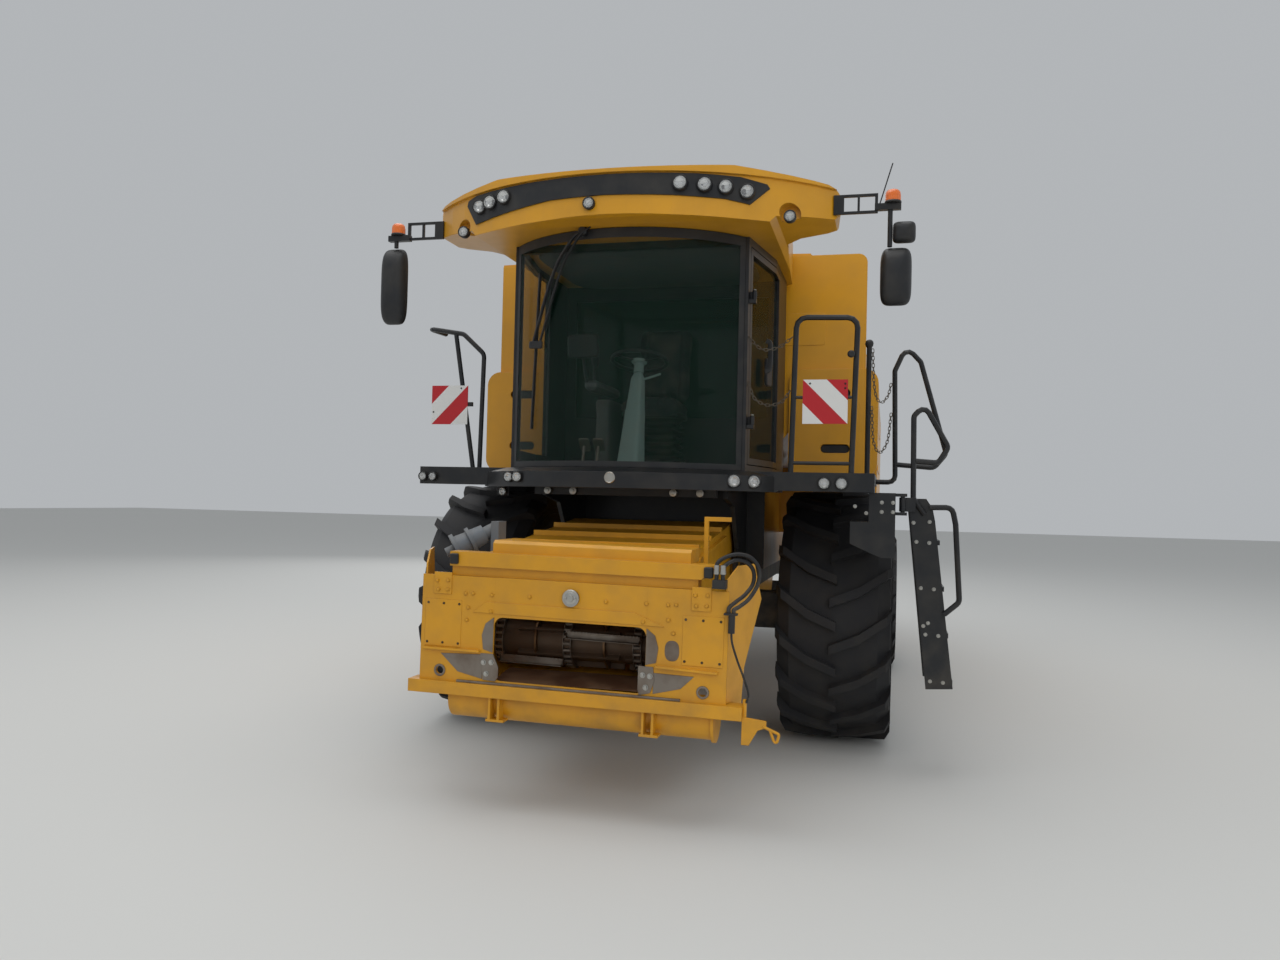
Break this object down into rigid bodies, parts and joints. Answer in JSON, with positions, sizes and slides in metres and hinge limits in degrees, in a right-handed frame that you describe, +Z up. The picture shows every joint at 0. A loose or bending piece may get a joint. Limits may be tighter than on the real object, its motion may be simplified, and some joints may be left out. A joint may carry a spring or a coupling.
{
  "type": "combine harvester",
  "caption": "Self-propelled combine harvester without its header: wide roof cab, feeder house, grain tank, folded unloading auger, big drive tyres and steered rear wheels.",
  "frame": {"origin": "middle of the machine's own box, on the ground", "axes": "+Z up, the machine's front faces -Y, +X is the machine's left side, where the ladder and the cab door are"},
  "size_m": [3.9631, 9.1903, 3.8731],
  "materials": {
    "rubber_tyre": "worn black rubber with dried soil",
    "yellow_paint": "warm yellow enamel, dusty and chipped at edges",
    "black_paint": "satin black paint",
    "black_plastic": "moulded black plastic",
    "dark_steel": "dusty dark steel",
    "bare_steel": "bare worked steel with brown dust",
    "chrome_rod": "polished piston rod",
    "tinted_glass": "green tinted glass",
    "lamp_lens": "clear lamp lens over a bright reflector",
    "beacon_lens": "amber lens",
    "seat_fabric": "dark woven seat cloth",
    "cab_plastic": "grey moulded trim",
    "board_sheet": "red and white retro-reflecting sheet",
    "hose_rubber": "black rubber hose",
    "guard_plastic": "grey moulded plastic guard",
    "zinc_steel": "dull zinc-plated steel",
    "rim_paint": "yellow enamel"
  },
  "bodies": {
    "machine": {"chassis": "dark_steel", "front_axle": "dark_steel", "threshing_body": "yellow_paint", "drive_pulleys": "dark_steel", "grain_tank": "yellow_paint", "side_structure": "yellow_paint", "engine_block": "dark_steel", "engine_hood": "yellow_paint", "dust_screen": "dark_steel", "rear_hood": "yellow_paint", "straw_chopper": "black_paint", "cab_floor": "black_plastic", "cab_frame": "black_paint", "cab_roof": "yellow_paint", "lamp_band": "black_plastic", "windscreen": "tinted_glass", "side_windows": "tinted_glass", "seat_base": "cab_plastic", "seat_cushions": "seat_fabric", "steering_column": "cab_plastic", "platforms": "black_paint", "handrails": "black_paint", "warning_boards": "board_sheet", "work_lamps": "lamp_lens", "mirror_arms": "black_paint", "mirror_heads": "black_plastic", "beacons": "beacon_lens", "gate_chains": "zinc_steel", "exhaust": "dark_steel", "rear_axle": "dark_steel"},
    "wheel_front_left": {"tyre_front_left": "rubber_tyre", "rim_front_left": "rim_paint"},
    "wheel_front_right": {"tyre_front_right": "rubber_tyre", "rim_front_right": "rim_paint"},
    "steer_knuckle_left": {"knuckle_left": "dark_steel"},
    "steer_knuckle_right": {"knuckle_right": "dark_steel"},
    "wheel_rear_left": {"tyre_rear_left": "rubber_tyre", "rim_rear_left": "rim_paint"},
    "wheel_rear_right": {"tyre_rear_right": "rubber_tyre", "rim_rear_right": "rim_paint"},
    "steer_link": {"tie_rod": "dark_steel"},
    "feeder": {"feeder_house": "yellow_paint", "feeder_face": "yellow_paint", "feeder_drum": "bare_steel", "wear_plates": "bare_steel", "hose_coupler": "black_plastic", "feeder_hoses": "hose_rubber", "header_shaft": "guard_plastic"},
    "feeder_barrels": {"lift_barrels": "black_paint"},
    "feeder_rods": {"lift_rods": "chrome_rod"},
    "auger": {"auger_tube": "yellow_paint", "auger_spout": "black_plastic"},
    "lid_left": {"tank_lid_left": "yellow_paint"},
    "lid_right": {"tank_lid_right": "yellow_paint"},
    "shield_left": {"side_shield_left": "yellow_paint"},
    "shield_right": {"side_shield_right": "yellow_paint"},
    "door": {"cab_door": "black_paint", "door_glass": "tinted_glass"},
    "boarding_ladder": {"ladder": "black_paint"}
  },
  "joints": [
    {"name": "front_wheel_left_spin", "type": "hinge", "parent": "machine", "child": "wheel_front_left", "pos_m": [1.167, -2.05, 0.925], "axis": [1, 0, 0], "continuous": true},
    {"name": "front_wheel_right_spin", "type": "hinge", "parent": "machine", "child": "wheel_front_right", "pos_m": [-1.523, -2.05, 0.925], "axis": [1, 0, 0], "continuous": true},
    {"name": "steer_left", "type": "hinge", "parent": "machine", "child": "steer_knuckle_left", "pos_m": [0.897, 1.45, 0.72], "axis": [0, 0, 1], "range_deg": [-28, 28]},
    {"name": "steer_right", "type": "hinge", "parent": "machine", "child": "steer_knuckle_right", "pos_m": [-1.253, 1.45, 0.72], "axis": [0, 0, 1], "range_deg": [-28, 28]},
    {"name": "steer_link_slide", "type": "slide", "parent": "machine", "child": "steer_link", "axis": [1, 0, 0], "range_m": [-0.11, 0.11]},
    {"name": "rear_wheel_left_spin", "type": "hinge", "parent": "steer_knuckle_left", "child": "wheel_rear_left", "pos_m": [1.322, 1.45, 0.72], "axis": [1, 0, 0], "continuous": true},
    {"name": "rear_wheel_right_spin", "type": "hinge", "parent": "steer_knuckle_right", "child": "wheel_rear_right", "pos_m": [-1.678, 1.45, 0.72], "axis": [1, 0, 0], "continuous": true},
    {"name": "feeder_lift", "type": "hinge", "parent": "machine", "child": "feeder", "pos_m": [-0.178, -2.6, 1.28], "axis": [-1, 0, 0], "range_deg": [-10, 14]},
    {"name": "feeder_barrel_swing", "type": "hinge", "parent": "machine", "child": "feeder_barrels", "pos_m": [-0.178, -2.44, 0.69], "axis": [-1, 0, 0], "range_deg": [-12, 15]},
    {"name": "feeder_rod_slide", "type": "slide", "parent": "feeder_barrels", "child": "feeder_rods", "axis": [0, -0.9995, -0.0317], "range_m": [-0.12, 0.16]},
    {"name": "auger_swing", "type": "hinge", "parent": "machine", "child": "auger", "pos_m": [1.112, -1.44, 3], "axis": [0, 0, -1], "range_deg": [0, 100]},
    {"name": "lid_left_open", "type": "hinge", "parent": "machine", "child": "lid_left", "pos_m": [0.894, -0.55, 3.7123], "axis": [0, 1, 0], "range_deg": [0, 105]},
    {"name": "lid_right_open", "type": "hinge", "parent": "machine", "child": "lid_right", "pos_m": [-1.7, -0.55, 3.7123], "axis": [0, -1, 0], "range_deg": [0, 105]},
    {"name": "shield_left_open", "type": "hinge", "parent": "machine", "child": "shield_left", "pos_m": [1.409, 0.8, 2.692], "axis": [0, -1, 0], "range_deg": [0, 80]},
    {"name": "shield_right_open", "type": "hinge", "parent": "machine", "child": "shield_right", "pos_m": [-1.765, 0.8, 2.692], "axis": [0, 1, 0], "range_deg": [0, 80]},
    {"name": "door_open", "type": "hinge", "parent": "machine", "child": "door", "pos_m": [0.656, -3.39302, 2.7], "axis": [0, 0, -1], "range_deg": [0, 60]},
    {"name": "ladder_swing", "type": "hinge", "parent": "machine", "child": "boarding_ladder", "pos_m": [1.607, -3.185, 1.76], "axis": [0, 0, -1], "range_deg": [0, 110]}
  ],
  "couplings": [
    {"joint": "steer_right", "follows": "steer_left", "ratio": 1},
    {"joint": "steer_link_slide", "follows": "steer_left", "m_per_rad": -0.22},
    {"joint": "feeder_barrel_swing", "follows": "feeder_lift", "ratio": 0.873},
    {"joint": "feeder_rod_slide", "follows": "feeder_lift", "m_per_rad": 0.586},
    {"joint": "lid_right_open", "follows": "lid_left_open", "ratio": 1}
  ]
}
